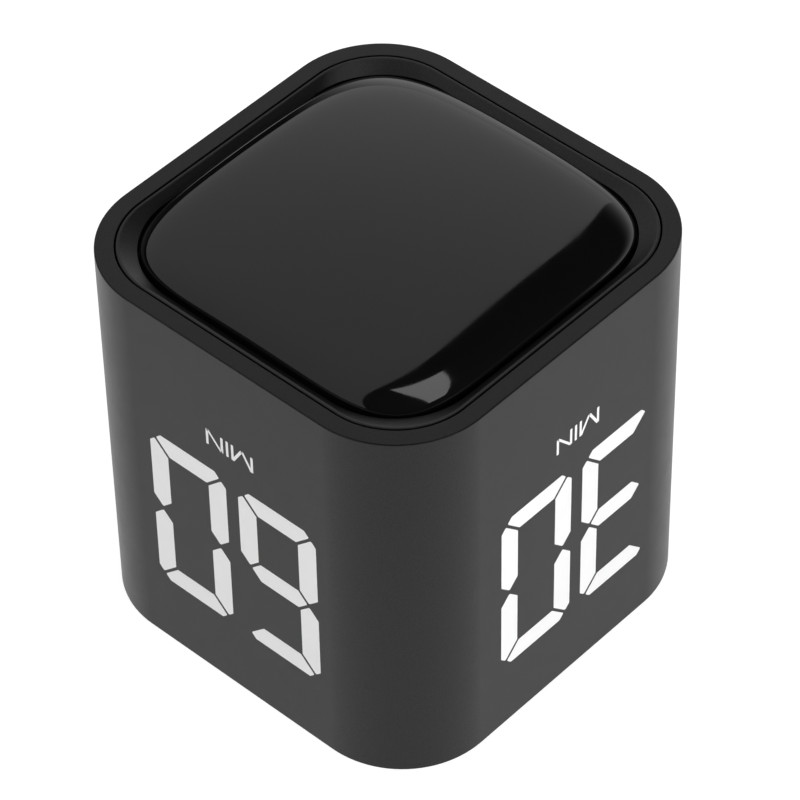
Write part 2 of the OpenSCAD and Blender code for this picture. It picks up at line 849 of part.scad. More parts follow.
module buzzer_gasket() color([0.2, 0.2, 0.2]) translate([0, buzzer_y]) {
    pipe(buzzer_r, buzzer_r - 1.3, shelf_z + 0.12, buzzer_z - shelf_z - 0.12);
}

module sound_mesh() color([0.3, 0.3, 0.3]) translate([0, buzzer_y]) {
    disc(buzzer_r, shelf_z, 0.12);
}

// ---------- Back ----------

hole_r = 0.45;
hole_rings = [[0, 1], [2, 6], [4, 12]];

module rear_cover() color([0.12, 0.12, 0.125]) {
    cover_t = shelf_z - cover_z;
    difference() {
        slab(insert_w, insert_r, cover_z, cover_t);
        at_corners(post_at) disc(screw_r + 0.2, cover_z - 1, cover_t + 2);
        at_corners(post_at) disc(head_r + 0.2, cover_z - 1, 2.2);
        at_buttons() disc(button_r + slot_clear, cover_z - 1, cover_t + 2);
        translate([0, usb_y]) stadium(usb_w + 0.4, usb_h + 0.4, cover_z - 1, cover_t + 2);
        translate([0, switch_y])
            block([-knob_half.x - slide_travel - slot_clear, -knob_half.y - slot_clear, cover_z - 1],
                [knob_half.x + slide_travel + slot_clear, knob_half.y + slot_clear, shelf_z + 1]);
        for (ring = hole_rings, i = [0:ring[1] - 1])
            translate([0, buzzer_y]) rotate(360 * i / ring[1]) translate([ring[0], 0])
                disc(hole_r, cover_z - 1, cover_t + 2);
    }
}

module rear_screws() color("silver") {
    at_corners(post_at) screw(cover_z + 1.2, 6);
}

outer_shell();
front_bezel();
lens_tape();
display_lens();
numerals_60();
numerals_30();
numerals_15();
numerals_5();
unit_marks();
digit_module();
digit_segments();
module_pins();
display_board();
driver_chip();
ribbon_sockets();
display_ribbon();
display_screws();
inner_frame();
frame_inserts();
battery_cell();
battery_tape();
battery_lead_red();
battery_lead_black();
battery_plug();
battery_socket();
motor_can();
motor_magnet();
motor_endcap();
motor_boot();
motor_leads();
motor_shaft();
motor_armature();
motor_weight();
main_board();
processor_chip();
tilt_sensor();
charge_chip();
clock_crystal();
board_passives();
board_screws();
usb_shell();
usb_tongue();
switch_frame();
switch_lever();
switch_knob();
tact_bases();
tact_covers();
tact_domes();
plunger_left();
plunger_right();
button_left();
button_right();
buzzer_case();
buzzer_coil();
buzzer_magnet();
buzzer_diaphragm();
buzzer_gasket();
sound_mesh();
rear_cover();
rear_screws();
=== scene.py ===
import json
import math

import bmesh
import bpy
from mathutils import Matrix, Vector


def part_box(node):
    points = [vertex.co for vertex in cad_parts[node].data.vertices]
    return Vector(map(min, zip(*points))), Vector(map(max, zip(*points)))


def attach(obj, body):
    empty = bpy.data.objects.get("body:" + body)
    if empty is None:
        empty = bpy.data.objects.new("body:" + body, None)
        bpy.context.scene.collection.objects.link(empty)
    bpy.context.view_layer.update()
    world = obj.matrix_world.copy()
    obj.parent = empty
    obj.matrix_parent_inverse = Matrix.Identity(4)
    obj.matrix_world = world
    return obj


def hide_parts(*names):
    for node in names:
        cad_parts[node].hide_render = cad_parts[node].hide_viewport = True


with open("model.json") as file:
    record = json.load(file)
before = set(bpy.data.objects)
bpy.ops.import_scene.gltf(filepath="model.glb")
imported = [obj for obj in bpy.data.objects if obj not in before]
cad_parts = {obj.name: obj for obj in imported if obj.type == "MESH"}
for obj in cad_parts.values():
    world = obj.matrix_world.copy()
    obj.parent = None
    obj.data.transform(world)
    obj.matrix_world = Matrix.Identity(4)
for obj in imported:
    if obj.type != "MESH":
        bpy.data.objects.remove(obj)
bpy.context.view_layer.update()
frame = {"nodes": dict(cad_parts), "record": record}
mm = 0.001

# ---------------------------------------------------------------------------------------------
# Camera, floor and lights. The cube stands on a wide glowing table, seen through a long lens from
# above its near corner. Low white walls stand near and right. A wide panel and a small lamp hang
# over the far side, where the window mirrors them, and a second lamp lights the cube's right side.
# ---------------------------------------------------------------------------------------------
cube_low, cube_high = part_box("outer_shell")
side = cube_high.x - cube_low.x
middle = (cube_low + cube_high) / 2
view_turn = math.radians(-46.9)
view_rise = math.radians(45.22)
view_roll = math.radians(1.13)
view_distance = 9.455 * side
aim_right = 0.0177 * side
aim_up = 0.0078 * side
film_width = 36
lens_length = 196.8
near_clip = 0.01

back = Vector((
    math.sin(view_turn) * math.cos(view_rise),
    -math.cos(view_turn) * math.cos(view_rise),
    math.sin(view_rise),
))
level_right = Vector((math.cos(view_turn), math.sin(view_turn), 0))
level_up = back.cross(level_right)
right = level_right * math.cos(view_roll) - level_up * math.sin(view_roll)
up = back.cross(right)

camera_data = bpy.data.cameras.new("camera")
camera_data.sensor_width = film_width
camera_data.lens = lens_length
camera_data.clip_start = near_clip
camera = bpy.data.objects.new("camera", camera_data)
bpy.context.scene.collection.objects.link(camera)
spot = middle + right * aim_right + up * aim_up + back * view_distance
camera.matrix_world = Matrix.Translation(spot) @ Matrix((right, up, back)).transposed().to_4x4()
bpy.context.scene.camera = camera


def add_object(name, mesh):
    item = bpy.data.objects.new(name, mesh)
    bpy.context.scene.collection.objects.link(item)
    return item


def plane_mesh(name, width, height):
    mesh = bpy.data.meshes.new(name)
    corners = [(-width / 2, -height / 2, 0), (width / 2, -height / 2, 0),
               (width / 2, height / 2, 0), (-width / 2, height / 2, 0)]
    mesh.from_pydata(corners, [], [(0, 1, 2, 3)])
    return mesh


def link(tree, source, target):
    tree.links.new(source, target)


def stretch(tree, value, low, high, new_low, new_high, curve="LINEAR"):
    """A value mapped from one range to another, along a line or a smooth step."""
    node = tree.nodes.new("ShaderNodeMapRange")
    node.interpolation_type = curve
    for name, number in (("From Min", low), ("From Max", high), ("To Min", new_low), ("To Max", new_high)):
        node.inputs[name].default_value = number
    link(tree, value, node.inputs["Value"])
    return node.outputs["Result"]


def calc(tree, operation, first, second=0.0):
    """One sum, product or the like of two sockets or numbers."""
    node = tree.nodes.new("ShaderNodeMath")
    node.operation = operation
    for value, socket in ((first, node.inputs[0]), (second, node.inputs[1])):
        if isinstance(value, (int, float)):
            socket.default_value = value
        else:
            link(tree, value, socket)
    return node.outputs["Value"]


def new_material(name):
    """A material, its node tree, its shader and the object's own coordinates."""
    material = bpy.data.materials.new(name)
    material.use_nodes = True
    tree = material.node_tree
    place = tree.nodes.new("ShaderNodeTexCoord").outputs["Object"]
    return material, tree, tree.nodes["Principled BSDF"], place


def table_material(name, tone, glow):
    """Glowing milk glass that can be seen through from below."""
    material, tree, shader, _ = new_material(name)
    shader.inputs["Base Color"].default_value = (tone, tone, tone, 1)
    shader.inputs["Roughness"].default_value = 0.9
    shader.inputs["Specular IOR Level"].default_value = 0.1
    shader.inputs["Emission Color"].default_value = (1, 1, 1, 1)
    shader.inputs["Emission Strength"].default_value = glow
    sides = tree.nodes.new("ShaderNodeMixShader")
    link(tree, tree.nodes.new("ShaderNodeNewGeometry").outputs["Backfacing"], sides.inputs["Fac"])
    link(tree, shader.outputs["BSDF"], sides.inputs[1])
    link(tree, tree.nodes.new("ShaderNodeBsdfTransparent").outputs["BSDF"], sides.inputs[2])
    link(tree, sides.outputs["Shader"], tree.nodes["Material Output"].inputs["Surface"])
    return material


def ceiling_material(name, direction, start, end, first, last):
    """A glow that changes smoothly between two strengths along a direction."""
    material, tree, shader, place = new_material(name)
    shader.inputs["Base Color"].default_value = (0, 0, 0, 1)
    shader.inputs["Emission Color"].default_value = (1, 1, 1, 1)
    along = tree.nodes.new("ShaderNodeVectorMath")
    along.operation = "DOT_PRODUCT"
    along.inputs[1].default_value = direction
    link(tree, place, along.inputs[0])
    glow = stretch(tree, along.outputs["Value"], start, end, first, last, "SMOOTHSTEP")
    link(tree, glow, shader.inputs["Emission Strength"])
    return material


table_size = 12
table_gap = 0.02 * mm
floor = add_object("table", plane_mesh("table", table_size, table_size))
floor.location.z = cube_low.z - table_gap
floor.data.materials.append(table_material("table_white", 0.4, 0.88))


def level_panel(name, centre, size, turn, glow):
    """A level rectangle that shines down and shows in gloss."""
    data = bpy.data.lights.new(name, "AREA")
    data.shape = "RECTANGLE"
    data.size, data.size_y = size
    data.energy = glow * math.pi * data.size * data.size_y
    lamp = bpy.data.objects.new(name, data)
    bpy.context.scene.collection.objects.link(lamp)
    lamp.location = centre
    lamp.rotation_euler.z = math.radians(turn)
    return lamp


level_panel("small_lamp", (0.322, -0.139, 1.26), (0.22, 0.9), -13, 3.4)
side_lamp = level_panel("side_lamp", (-0.1, -0.36, 0.16), (0.16, 0.16), 0, 9)
side_lamp.rotation_euler = (middle - side_lamp.location).to_track_quat("-Z", "Y").to_euler()
side_lamp.visible_glossy = False

ceiling = add_object("ceiling_panel", plane_mesh("ceiling_panel", 5.4, 2.45))
ceiling.location = (0.454, 1.718, 1.46)
ceiling.rotation_euler.z = math.radians(14)
ceiling_glow = ceiling_material("ceiling_glow", (0.91, -0.485, 0), 0.26, 2.5, 0.77, 1.18)
ceiling.data.materials.append(ceiling_glow)

world = bpy.data.worlds.new("studio")
world.use_nodes = True
sky = world.node_tree
direction = sky.nodes.new("ShaderNodeSeparateXYZ")
link(sky, sky.nodes.new("ShaderNodeTexCoord").outputs["Generated"], direction.inputs["Vector"])


def fade(axis, start, end, first, last):
    """Strength that changes smoothly between two values along one axis of the sky."""
    return stretch(sky, direction.outputs[axis], start, end, first, last, "SMOOTHSTEP")


near_walls = calc(sky, "MULTIPLY", fade("Y", 0.1, 0.5, 1.0, 0.1), fade("X", 0.1, 0.5, 1.0, 0.1))
low_wall = calc(sky, "MULTIPLY", fade("Z", 0.2, 0.4, 1.0, 0.02), near_walls)
right_glow = calc(sky, "MULTIPLY", fade("Z", 0.28, 0.62, 1.1, 0.0), fade("Z", -0.05, 0.1, 0.5, 1.0))
right_wall = calc(sky, "MULTIPLY", right_glow, fade("X", 0.55, 0.75, 0.0, 1.0))
link(sky, calc(sky, "ADD", low_wall, right_wall), sky.nodes["Background"].inputs["Strength"])
sky.nodes["Background"].inputs["Color"].default_value = (1, 1, 1, 1)
bpy.context.scene.world = world
bpy.context.scene.view_settings.view_transform = "Standard"

# ---------------------------------------------------------------------------------------------
# Outer shell: one moulded rounded square tube of black ABS with a fine matte grain. Its wall has
# a shelf and four screw lugs near the back, and a narrow ledge that the bezel sits on.
# ---------------------------------------------------------------------------------------------
shell_radius = 13.65 * mm
shell_wall = 2.5 * mm
half = side / 2
shelf_low = 3 * mm
shelf_high = 5 * mm
shelf_depth = 2 * mm
ledge_low = 52 * mm
ledge_high = 54 * mm
ledge_depth = 1 * mm
lug_at = 19.5 * mm
lug_radius = 3.4 * mm
lug_hole = 1.2 * mm
corner_steps = 24
lug_sides = 48
fillet_steps = 4
sharp_angle = math.radians(32)


def filleted(outline):
    """A closed outline of (inset, height, extra radius, fillet), with arcs at its corners."""
    points = []
    count = len(outline)
    for i, (x, z, extra, fillet) in enumerate(outline):
        here = Vector((x, z, extra))
        if not fillet:
            points.append(here)
            continue
        before = (Vector(outline[i - 1][:3]) - here).normalized()
        after = (Vector(outline[(i + 1) % count][:3]) - here).normalized()
        half_angle = before.angle(after) / 2
        reach = fillet / math.tan(half_angle)
        centre = here + (before + after).normalized() * fillet / math.sin(half_angle)
        start = here + before * reach - centre
        end = here + after * reach - centre
        for k in range(fillet_steps + 1):
            points.append(centre + start.slerp(end, k / fillet_steps).normalized() * fillet)
    return points


def square_ring(half_width, radius, z):
    """Points round a rounded square, anticlockwise from above, with arcs at its corners."""
    points = []
    for corner in range(4):
        turn = corner * math.pi / 2
        centre = Matrix.Rotation(turn, 3, "Z") @ Vector((half_width - radius, half_width - radius, z))
        for k in range(corner_steps + 1):
            a = turn + k / corner_steps * math.pi / 2
            points.append(centre + Vector((math.cos(a), math.sin(a), 0)) * radius)
    return points


def loft(name, rings):
    """A skin over rings of equal length, the last joined to the first."""
    bm = bmesh.new()
    rows = [[bm.verts.new(p) for p in ring] for ring in rings]
    for low, high in zip(rows, rows[1:] + rows[:1]):
        for i in range(len(low)):
            k = (i + 1) % len(low)
            bm.faces.new((low[i], low[k], high[k], high[i]))
    bmesh.ops.recalc_face_normals(bm, faces=bm.faces)
    mesh = bpy.data.meshes.new(name)
    bm.to_mesh(mesh)
    bm.free()
    return mesh


def ring_profile(name, outline, radius):
    """A ring with this outline all round the cube; insets are measured from the cube's side."""
    rings = []
    for inset, z, extra in filleted(outline):
        rings.append(square_ring(half - inset, radius - inset + extra, z))
    return loft(name, rings)


def smooth(item):
    """Smooth shading that keeps real corners sharp and flat faces flat."""
    item.data.shade_smooth()
    item.data.set_sharp_from_angle(angle=sharp_angle)
    weights = item.modifiers.new("weighted_normals", "WEIGHTED_NORMAL")
    weights.keep_sharp = True


def cylinder_mesh(name, radius, low, high):
    bm = bmesh.new()
    bmesh.ops.create_cone(bm, cap_ends=True, segments=lug_sides, radius1=radius, radius2=radius,
                          depth=high - low)
    bmesh.ops.translate(bm, verts=bm.verts, vec=(0, 0, (low + high) / 2))
    mesh = bpy.data.meshes.new(name)
    bm.to_mesh(mesh)
    bm.free()
    return mesh


def joined(name, meshes_at):
    """One mesh from several, each moved to its place."""
    bm = bmesh.new()
    for mesh, place in meshes_at:
        part = mesh.copy()
        part.transform(Matrix.Translation(place))
        bm.from_mesh(part)
        bpy.data.meshes.remove(part)
    mesh = bpy.data.meshes.new(name)
    bm.to_mesh(mesh)
    bm.free()
    return mesh


def carve(item, tool_mesh, operation):
    """Adds to or cuts from a piece, and bakes the result into its mesh."""
    tool = add_object("tool", tool_mesh)
    cut = item.modifiers.new("cut", "BOOLEAN")
    cut.operation = operation
    cut.solver = "EXACT"
    cut.object = tool
    graph = bpy.context.evaluated_depsgraph_get()
    item.data = bpy.data.meshes.new_from_object(item.evaluated_get(graph))
    item.modifiers.clear()
    bpy.data.objects.remove(tool)


def four_corners(reach):
    return [Vector((x, y, 0)) for x in (-reach, reach) for y in (-reach, reach)]


body_of = {node: body for body, nodes in frame["record"]["behaviour"]["bodies"].items() for node in nodes}


def settle(piece, material, *nodes):
    """Gives a piece its material and lets it stand for its CAD nodes on their body."""
    piece.data.materials.clear()
    piece.data.materials.append(material)
    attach(piece, body_of[nodes[0]])
    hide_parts(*nodes)


def noise(tree, place, size, detail):
    """Cloudy pattern whose patches are about this wide, read at a place in the object's space."""
    node = tree.nodes.new("ShaderNodeTexNoise")
    node.inputs["Scale"].default_value = 1 / size
    node.inputs["Detail"].default_value = detail
    link(tree, place, node.inputs["Vector"])
    return node.outputs["Fac"]


def varied(tree, pattern, low, high):
    """A value that swings between these two with a cloudy pattern."""
    return stretch(tree, pattern, 0.3, 0.7, low, high)


def blend_colour(tree, fac, first, second):
    node = tree.nodes.new("ShaderNodeMix")
    node.data_type = "RGBA"
    node.inputs["A"].default_value = (*first, 1)
    node.inputs["B"].default_value = (*second, 1)
    link(tree, fac, node.inputs["Factor"])
    return node.outputs["Result"]


def bump(tree, shader, height, depth):
    node = tree.nodes.new("ShaderNodeBump")
    node.inputs["Distance"].default_value = depth
    link(tree, height, node.inputs["Height"])
    link(tree, node.outputs["Normal"], shader.inputs["Normal"])


def moulded(name, colour, roughness, grain, depth, cloud=0.1, shine=0.5):
    """Moulded plastic: a fine grain off the mould, and slow changes of tone and gloss."""
    material, tree, shader, place = new_material(name)
    tone = noise(tree, place, 9 * mm, 3)
    dark = tuple(c * (1 - cloud) for c in colour)
    pale = tuple(c * (1 + cloud) for c in colour)
    link(tree, blend_colour(tree, tone, dark, pale), shader.inputs["Base Color"])
    patch = noise(tree, place, 3 * mm, 4)
    rough = varied(tree, patch, roughness - 0.015, roughness + 0.015)
    link(tree, rough, shader.inputs["Roughness"])
    tooth = noise(tree, place, grain, 3)
    speckle = varied(tree, tooth, shine * 0.86, shine * 1.14)
    link(tree, speckle, shader.inputs["Specular IOR Level"])
    bump(tree, shader, tooth, depth)
    return material


shell_outline = [
    (0, cube_low.z, 0, 0.35 * mm),
    (0, cube_high.z, 0, 0.22 * mm),
    (shell_wall, cube_high.z, 0, 0.1 * mm),
    (shell_wall, ledge_high, 0, 0),
    (shell_wall + ledge_depth, ledge_high, 0, 0),
    (shell_wall + ledge_depth, ledge_low, 0, 0),
    (shell_wall, ledge_low, 0, 0),
    (shell_wall, shelf_high, 0, 0),
    (shell_wall + shelf_depth, shelf_high, 0, 0),
    (shell_wall + shelf_depth, shelf_low, 0, 0),
    (shell_wall, shelf_low, 0, 0),
    (shell_wall, cube_low.z, 0, 0.15 * mm),
]
shell = add_object("shell", ring_profile("shell", shell_outline, shell_radius))
lug = cylinder_mesh("lug", lug_radius, shelf_low, shelf_high)
hole = cylinder_mesh("hole", lug_hole, 0, 2 * shelf_high)
carve(shell, joined("lugs", [(lug, p) for p in four_corners(lug_at)]), "UNION")
carve(shell, joined("lug_holes", [(hole, p) for p in four_corners(lug_at)]), "DIFFERENCE")
smooth(shell)
shell_black = moulded("shell_black", (0.005, 0.005, 0.0053), 0.38, 0.2 * mm, 0.02 * mm, shine=0.25)
settle(shell, shell_black, "outer_shell")

# ---------------------------------------------------------------------------------------------
# Numerals: seven-segment figures and the small unit word, pad-filled with white paint in shallow
# recesses of the shell's four sides. They read upright when the cube lies on the opposite side.
# ---------------------------------------------------------------------------------------------
digit_size = (13.3 * mm, 27.1 * mm)
digit_stroke = 3.1 * mm
digit_pitch = 15.4 * mm
segment_gap = 0.42 * mm
corner_cut = 1.9 * mm
digit_round = 0.28 * mm
round_steps = 3
paint_depth = 0.28 * mm
paint_proud = 0.012 * mm
paint_edge = 0.02 * mm
letter_height = 2.7 * mm
letter_stroke = 0.43 * mm
letter_gap = 0.48 * mm
letter_round = 0.12 * mm
slant_share = 1.15
letter_widths = {"M": 3.75 * mm, "I": letter_stroke, "N": 2.95 * mm}
unit_drop = 19.25 * mm
lit_segments = {0: "abcdef", 1: "bc", 3: "abcdg", 5: "acdfg", 6: "acdefg", 8: "abcdefg"}


def segment_outline(name, size, stroke, gap, cut):
    """One segment: a top, b and c right, d bottom, e and f left, g middle."""
    x, y = size[0] / 2, size[1] / 2
    m = gap / math.sqrt(2)
    bar = [(-x + stroke + m, y - stroke), (-x + (cut + m) / 2, y - (cut - m) / 2), (-x + cut, y),
           (x - cut, y), (x - (cut + m) / 2, y - (cut - m) / 2), (x - stroke - m, y - stroke)]
    post = [(-x, stroke / 2 + m), (-x + stroke / 2, m), (-x + stroke, stroke / 2 + m),
            (-x + stroke, y - stroke - m), (-x + (cut - m) / 2, y - (cut + m) / 2), (-x, y - cut)]
    middle_bar = [(-x + stroke / 2 + m, 0), (-x + stroke + m, stroke / 2), (x - stroke - m, stroke / 2),
                  (x - stroke / 2 - m, 0), (x - stroke - m, -stroke / 2), (-x + stroke + m, -stroke / 2)]
    shape, flip_x, flip_y = {
        "a": (bar, 1, 1), "d": (bar, 1, -1), "f": (post, 1, 1), "b": (post, -1, 1),
        "e": (post, 1, -1), "c": (post, -1, -1), "g": (middle_bar, 1, 1),
    }[name]
    return [Vector((px * flip_x, py * flip_y)) for px, py in shape]


def signed_area(points):
    return sum(a.x * b.y - b.x * a.y for a, b in zip(points, points[1:] + points[:1])) / 2


def soft_corners(points, radius):
    """The outline with each corner rounded, anticlockwise."""
    if signed_area(points) < 0:
        points = points[::-1]
    rounded = []
    for i, here in enumerate(points):
        before = points[i - 1] - here
        after = points[(i + 1) % len(points)] - here
        half_angle = before.angle(after) / 2
        reach = min(radius / math.tan(half_angle), before.length * 0.45, after.length * 0.45)
        start = here + before.normalized() * reach
        end = here + after.normalized() * reach
        for k in range(round_steps + 1):
            t = k / round_steps
            rounded.append(start * (1 - t) ** 2 + here * 2 * t * (1 - t) + end * t ** 2)
    return rounded


def prisms(name, outlines, low, high, edge):
    """Flat-topped solids on these outlines, with a small bevel round the top."""
    bm = bmesh.new()
    for outline in outlines:
        centre = sum(outline, Vector((0, 0))) / len(outline)
        rows = []
        for z, shrink in ((low, 0), (high - edge, 0), (high, edge)):
            row = []
            for i, p in enumerate(outline):
                along = (outline[(i + 1) % len(outline)] - outline[i - 1]).normalized()
                inward = Vector((-along.y, along.x))
                q = p + inward * shrink
                row.append(bm.verts.new((q.x, q.y, z)))
            rows.append(row)
        for lower, upper in zip(rows, rows[1:]):
            for i in range(len(lower)):
                k = (i + 1) % len(lower)
                bm.faces.new((lower[i], lower[k], upper[k], upper[i]))
        bm.faces.new(rows[0][::-1])
        bm.faces.new(rows[-1])
    mesh = bpy.data.meshes.new(name)
    bm.to_mesh(mesh)
    bm.free()
    return mesh


def number_outlines(figures):
    outlines = []
    for i, figure in enumerate(figures):
        offset = Vector(((i - (len(figures) - 1) / 2) * digit_pitch, 0))
        for name in lit_segments[figure]:
            shape = segment_outline(name, digit_size, digit_stroke, segment_gap, corner_cut)
            outlines.append(soft_corners([p + offset for p in shape], digit_round))
    return outlines


def letter_outlines(name, left):
    """Strokes of one capital, standing on the line below the middle."""
    w, h, s = letter_widths[name], letter_height, letter_stroke
    slant = s * slant_share
    low, high = -h / 2, h / 2

    def stroke(x_low, x_high):
        return [Vector((left + x_low, low)), Vector((left + x_low + slant, low)),
                Vector((left + x_high + slant, high)), Vector((left + x_high, high))]

    def stem(x):
        return [Vector((left + x, low)), Vector((left + x + s, low)),
                Vector((left + x + s, high)), Vector((left + x, high))]

    if name == "I":
        return [stem(0)]
    if name == "N":
        return [stem(0), stem(w - s), stroke(w - slant, 0)]
    return [stem(0), stem(w - s), stroke((w - slant) / 2, 0), stroke((w - slant) / 2, w - slant)]


def unit_outlines():
    width = sum(letter_widths.values()) + 2 * letter_gap
    left = -width / 2
    outlines = []
    for name in "MIN":
        outlines += letter_outlines(name, left)
        left += letter_widths[name] + letter_gap
    return [soft_corners(shape, letter_round) for shape in outlines]


def onto_side(mesh, angle, offset, height, drop=0.0):
    """Turns a print upside down and sets it into the side this far round from the -Y side."""
    place = Matrix.Rotation(math.radians(angle), 4, "Z")
    place = place @ Matrix.Translation((offset, cube_low.y, height))
    place = place @ Matrix.Rotation(math.radians(90), 4, "X")
    place = place @ Matrix.Rotation(math.radians(180), 4, "Z") @ Matrix.Translation((0, -drop, 0))
    mesh.transform(place)
    return mesh


# piece, figures, angle of the side from -Y, and the print's centre along and up that side
sides = [
    ("numerals_60", (6, 0), -90, 0.45 * mm, 25.45 * mm),
    ("numerals_30", (3, 0), 0, 1.8 * mm, 24.65 * mm),
    ("numerals_15", (1, 5), 90, 0.0, 25 * mm),
    ("numerals_5", (5,), 180, 0.0, 25 * mm),
]


def painted(name, colour, roughness):
    """Thick matte paint: faint rolling unevenness and a fine tooth."""
    material, tree, shader, place = new_material(name)
    tone = noise(tree, place, 4 * mm, 4)
    pale = tuple(min(1, c * 1.03) for c in colour)
    dull = tuple(c * 0.95 for c in colour)
    link(tree, blend_colour(tree, tone, dull, pale), shader.inputs["Base Color"])
    link(tree, varied(tree, tone, roughness - 0.05, roughness + 0.05), shader.inputs["Roughness"])
    bump(tree, shader, noise(tree, place, 0.2 * mm, 3), 0.003 * mm)
    return material


print_white = painted("print_white", (0.82, 0.82, 0.82), 0.5)
unit_parts = []
for node, figures, angle, offset, height in sides:
    shape = prisms(node, number_outlines(figures), -paint_depth, paint_proud, paint_edge)
    numerals = add_object("paint_" + node, onto_side(shape, angle, offset, height))
    smooth(numerals)
    settle(numerals, print_white, node)
    word = prisms("word", unit_outlines(), -paint_depth, paint_proud, paint_edge)
    unit_parts.append((onto_side(word, angle, offset, height, unit_drop), Vector((0, 0, 0))))
units = add_object("paint_units", joined("paint_units", unit_parts))
smooth(units)
settle(units, print_white, "unit_marks")

# ---------------------------------------------------------------------------------------------
# Inner frame: a grey moulded deck on four posts that stand on the shell's lugs. Knurled brass
# inserts are pressed into the posts' feet for the back screws.
# ---------------------------------------------------------------------------------------------


merge_distance = 0.001 * mm
flat_angle = math.radians(0.5)
bevel_angle = math.radians(40)


def softened(node, edge, segments=2):
    """A copy of a CAD node with its triangles merged and its edges rounded."""
    mesh = frame["nodes"][node].data.copy()
    bm = bmesh.new()
    bm.from_mesh(mesh)
    bmesh.ops.remove_doubles(bm, verts=bm.verts, dist=merge_distance)
    bmesh.ops.dissolve_limit(bm, angle_limit=flat_angle, verts=bm.verts, edges=bm.edges)
    bm.to_mesh(mesh)
    bm.free()
    mesh.materials.clear()
    piece = add_object(node.replace("_", "-"), mesh)
    mesh.shade_smooth()
    mesh.set_sharp_from_angle(angle=sharp_angle)
    if edge:
        bevel = piece.modifiers.new("edge", "BEVEL")
        bevel.width = edge
        bevel.segments = segments
        bevel.limit_method = "ANGLE"
        bevel.angle_limit = bevel_angle
        bevel.harden_normals = True
    return piece


def dressed(node, material, edge, segments=2):
    """The CAD node drawn with rounded edges in this material."""
    settle(softened(node, edge, segments), material, node)


frame_grey = moulded("frame_grey", (0.09, 0.09, 0.095), 0.55, 0.25 * mm, 0.006 * mm)
dressed("inner_frame", frame_grey, 0.15 * mm)


def metal(name, colour, roughness, grain=0.05 * mm):
    """Bare metal with fine drawn lines along its length and slight tarnish."""
    material, tree, shader, place = new_material(name)
    shader.inputs["Metallic"].default_value = 1
    tone = noise(tree, place, 2 * mm, 4)
    dull = tuple(c * 0.85 for c in colour)
    link(tree, blend_colour(tree, tone, dull, colour), shader.inputs["Base Color"])
    mapping = tree.nodes.new("ShaderNodeMapping")
    mapping.inputs["Scale"].default_value = (1, 1, 0.08)
    link(tree, place, mapping.inputs["Vector"])
    lines = noise(tree, mapping.outputs["Vector"], grain, 2)
    link(tree, varied(tree, lines, roughness - 0.06, roughness + 0.1), shader.inputs["Roughness"])
    bump(tree, shader, lines, 0.001 * mm)
    return material


brass = metal("brass", (0.7, 0.5, 0.22), 0.32)
dressed("frame_inserts", brass, 0.05 * mm)

# ---------------------------------------------------------------------------------------------
# Battery: a lithium pouch in laminate foil, stuck to the deck inside a low fence. Its two leads
# go down past the deck's edge to a plug in the main board's socket.
# ---------------------------------------------------------------------------------------------


def foil(name, colour):
    """Laminate foil: shallow creases and a satin metal sheen."""
    material, tree, shader, place = new_material(name)
    shader.inputs["Metallic"].default_value = 0.85
    tone = noise(tree, place, 6 * mm, 5)
    dull = tuple(c * 0.8 for c in colour)
    link(tree, blend_colour(tree, tone, dull, colour), shader.inputs["Base Color"])
    link(tree, varied(tree, tone, 0.32, 0.5), shader.inputs["Roughness"])
    bump(tree, shader, noise(tree, place, 2.5 * mm, 4), 0.08 * mm)
    return material


cell_foil = foil("cell_foil", (0.62, 0.63, 0.64))
foam = moulded("tape_foam", (0.12, 0.12, 0.12), 0.85, 0.35 * mm, 0.05 * mm)
socket_ivory = moulded("socket_ivory", (0.72, 0.68, 0.57), 0.4, 0.3 * mm, 0.004 * mm, 0.05)
plug_white = moulded("plug_white", (0.78, 0.78, 0.76), 0.4, 0.3 * mm, 0.004 * mm, 0.04)
wire_red = moulded("wire_red", (0.5, 0.015, 0.015), 0.42, 0.4 * mm, 0.006 * mm)
wire_black = moulded("wire_black", (0.018, 0.018, 0.018), 0.42, 0.4 * mm, 0.006 * mm)
wire_blue = moulded("wire_blue", (0.02, 0.05, 0.32), 0.42, 0.4 * mm, 0.006 * mm)
dressed("battery_cell", cell_foil, 0.35 * mm, 3)
dressed("battery_tape", foam, 0.05 * mm)
dressed("battery_lead_red", wire_red, 0)
dressed("battery_lead_black", wire_black, 0)
dressed("battery_socket", socket_ivory, 0.08 * mm)
dressed("battery_plug", plug_white, 0.12 * mm)

# ---------------------------------------------------------------------------------------------
# Vibration motor: a steel can in a rubber boot on the deck. A copper coil cup turns round a fixed
# magnet and carries a half-round tungsten weight on its shaft.
# ---------------------------------------------------------------------------------------------
steel = metal("steel", (0.62, 0.62, 0.63), 0.25)
rubber = moulded("rubber_black", (0.022, 0.022, 0.022), 0.75, 0.2 * mm, 0.006 * mm)
sintered = moulded("magnet_grey", (0.16, 0.16, 0.17), 0.5, 0.12 * mm, 0.01 * mm)
tungsten = metal("tungsten", (0.36, 0.36, 0.35), 0.42, 0.1 * mm)


def winding(name, colour, pitch):
    """Enamelled copper wire wound in close turns, with painted shade darkening the grooves between them."""
    material, tree, shader, place = new_material(name)
    shader.inputs["Metallic"].default_value = 1
    waves = tree.nodes.new("ShaderNodeTexWave")
    waves.bands_direction = "Z"
    waves.inputs["Scale"].default_value = 0.314 / pitch
    waves.inputs["Distortion"].default_value = 0.4
    link(tree, place, waves.inputs["Vector"])
    # painted shade: the copper darkens to about a third in the low grooves between turns
    dark = tuple(c * 0.35 for c in colour)
    link(tree, blend_colour(tree, waves.outputs["Fac"], dark, colour), shader.inputs["Base Color"])
    shader.inputs["Roughness"].default_value = 0.3
    bump(tree, shader, waves.outputs["Fac"], 0.05 * mm)
    return material


